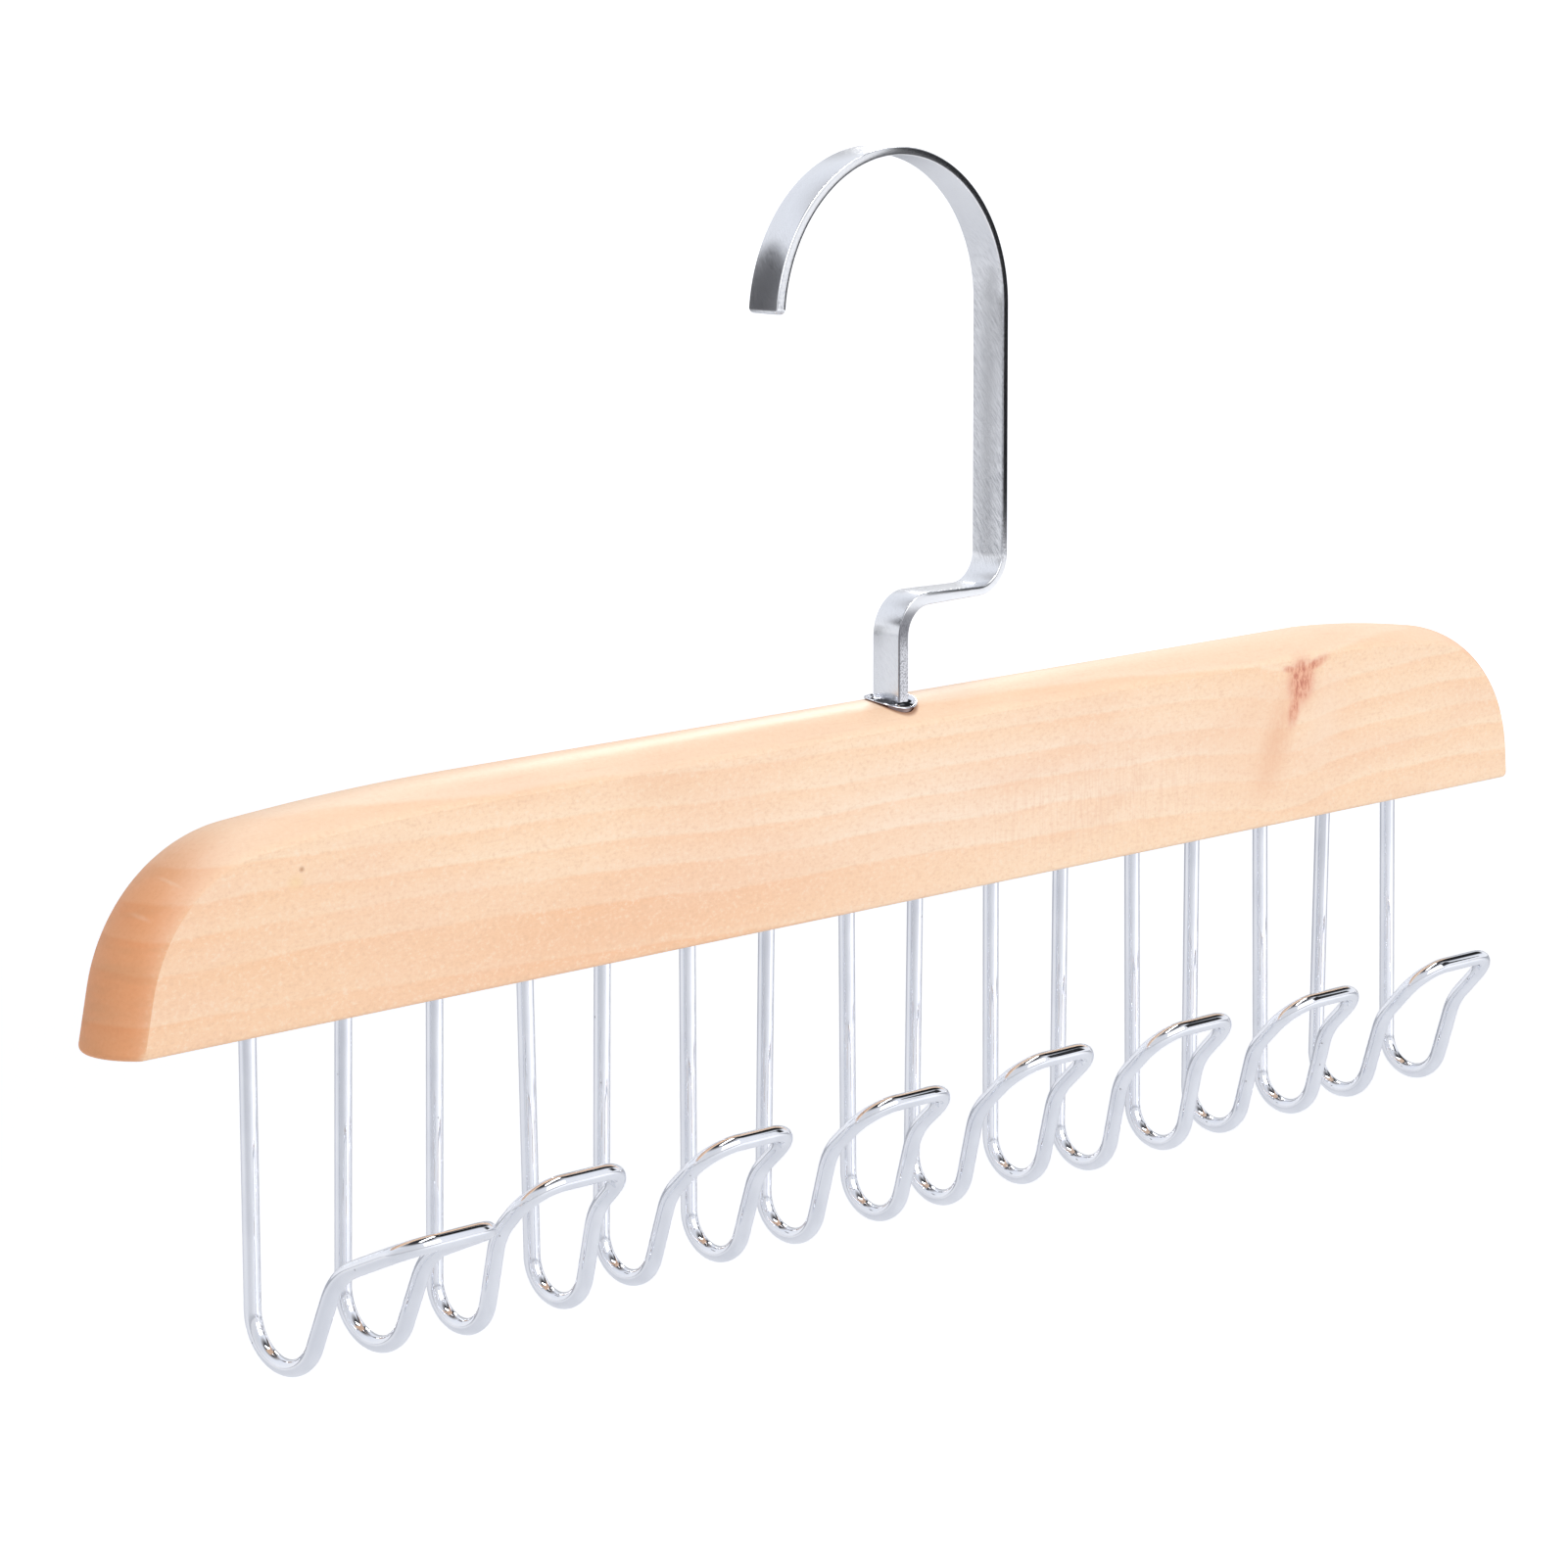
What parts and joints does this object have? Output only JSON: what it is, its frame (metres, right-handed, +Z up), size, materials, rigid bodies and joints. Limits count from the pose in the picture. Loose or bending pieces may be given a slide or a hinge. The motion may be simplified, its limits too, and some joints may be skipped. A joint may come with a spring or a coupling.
{
  "type": "belt hanger",
  "caption": "Belt hanger: a crowned wooden bar that swivels below a flat cranked rail hook, with a row of double wire hooks that open to the front.",
  "frame": {"origin": "the rail's seat: the highest point of the bow's inner curve, at mid width", "axes": "+X along the bar, away from the bow's free end; +Y to the back, away from the belt hooks' open side; +Z up"},
  "size_m": [0.3569, 0.0483, 0.193],
  "materials": {
    "maple": "pale straight-grained hardwood, sanded smooth, thin satin varnish",
    "satin_nickel": "nickel plate over a flattened rod, brushed along its length",
    "chrome": "bright chrome plate",
    "plain_steel": "plain turned steel, lightly greased"
  },
  "bodies": {
    "hook": {"flat_hook": "satin_nickel", "thrust_washer": "plain_steel"},
    "bar": {"wooden_bar": "maple", "ferrule": "chrome", "swivel_sleeve": "plain_steel", "belt_hook_1": "chrome", "belt_hook_2": "chrome", "belt_hook_3": "chrome", "belt_hook_4": "chrome", "belt_hook_5": "chrome", "belt_hook_6": "chrome", "belt_hook_7": "chrome", "belt_hook_8": "chrome"}
  },
  "joints": [
    {"name": "hook_swivel", "type": "hinge", "parent": "hook", "child": "bar", "pos_m": [0.0025, 0, -0.09619], "axis": [0, 0, 1], "continuous": true}
  ]
}
